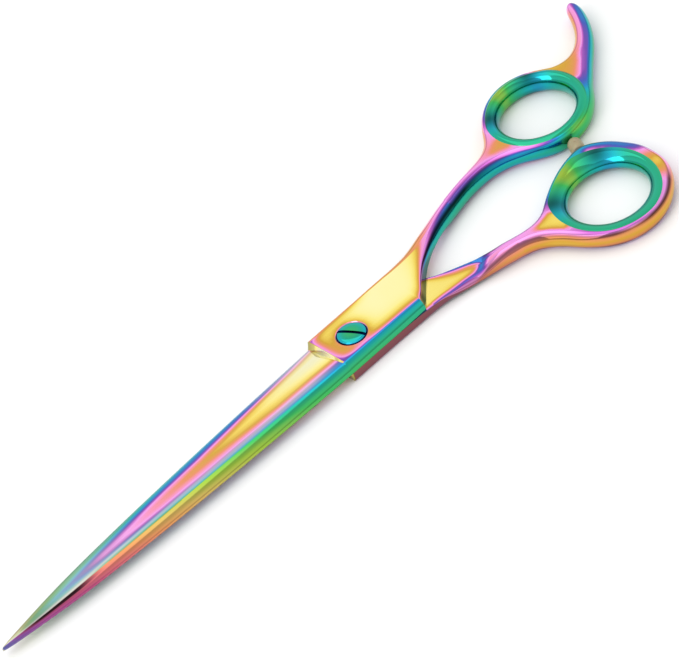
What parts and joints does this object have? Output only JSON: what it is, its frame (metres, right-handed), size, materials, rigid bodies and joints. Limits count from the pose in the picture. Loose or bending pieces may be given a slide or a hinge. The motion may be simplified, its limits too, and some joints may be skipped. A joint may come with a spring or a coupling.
{
  "type": "hair thinning shears",
  "caption": "Hair thinning shears: two crossed halves on a slotted pivot screw, finger and thumb rings, curved finger rest and soft stop.",
  "frame": {"origin": "on the pivot axis, in the plane of the underside on which the shears lie flat", "axes": "+X from the pivot towards the rings, along the closed blades; +Y towards the finger ring; +Z out of the screw head"},
  "size_m": [0.2393, 0.0747, 0.0063],
  "materials": {
    "steel_front": "mirror polished, with a rainbow interference coating that runs from gold over magenta to teal",
    "steel_rear": "mirror polished, with the same rainbow coating in its magenta and violet tones",
    "screw": "polished, teal interference coating",
    "nylon": "natural white nylon",
    "silicone": "soft translucent beige silicone"
  },
  "bodies": {
    "finger_half": {"finger_blade": "steel_front", "head_washer": "nylon"},
    "thumb_half": {"thumb_blade": "steel_rear", "slide_washer": "nylon", "stop_bumper": "silicone"},
    "screw": {"pivot_screw": "screw"}
  },
  "joints": [
    {"name": "blade_pivot", "type": "hinge", "parent": "finger_half", "child": "thumb_half", "pos_m": [0, 0, 0.0029], "axis": [0, 0, -1], "range_deg": [0, 80]},
    {"name": "tension_screw", "type": "hinge", "parent": "thumb_half", "child": "screw", "pos_m": [0, 0, 0.0029], "axis": [0, 0, 1], "range_deg": [-45, 45]}
  ]
}
